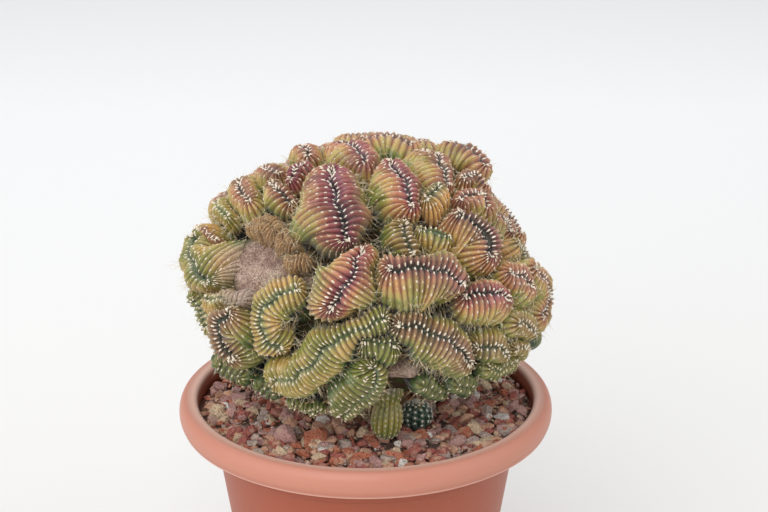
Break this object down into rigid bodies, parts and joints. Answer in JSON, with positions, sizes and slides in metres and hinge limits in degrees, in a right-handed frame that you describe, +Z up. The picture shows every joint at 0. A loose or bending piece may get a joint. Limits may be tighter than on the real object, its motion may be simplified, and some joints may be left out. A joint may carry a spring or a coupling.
{
  "type": "potted crested lobivia",
  "caption": "Crested cactus with folded, ribbed growth ridges, rooted in stony substrate in a round tapered pot with a rolled rim; stands on its flat base.",
  "frame": {"origin": "centre of the pot's flat base, on the surface that it stands on", "axes": "+Z up along the pot's axis; -Y towards the side that the picture shows, +X to the right of it"},
  "size_m": [0.13, 0.13, 0.1911],
  "materials": {
    "pot": "smooth satin, terracotta pink, faintly scuffed",
    "soil": "rough, angular lava and pumice grains, brick red to mauve, tan and off-white",
    "cactus_flesh": "waxy skin, purple along the growing lines through orange-brown and olive to green, with white wool dots and straw spines",
    "pup_flesh": "waxy dark green with sparse white wool dots"
  },
  "bodies": {
    "root": {"pot": "pot", "soil": "soil", "crested_cactus": "cactus_flesh", "offset_pup": "pup_flesh"}
  },
  "joints": []
}
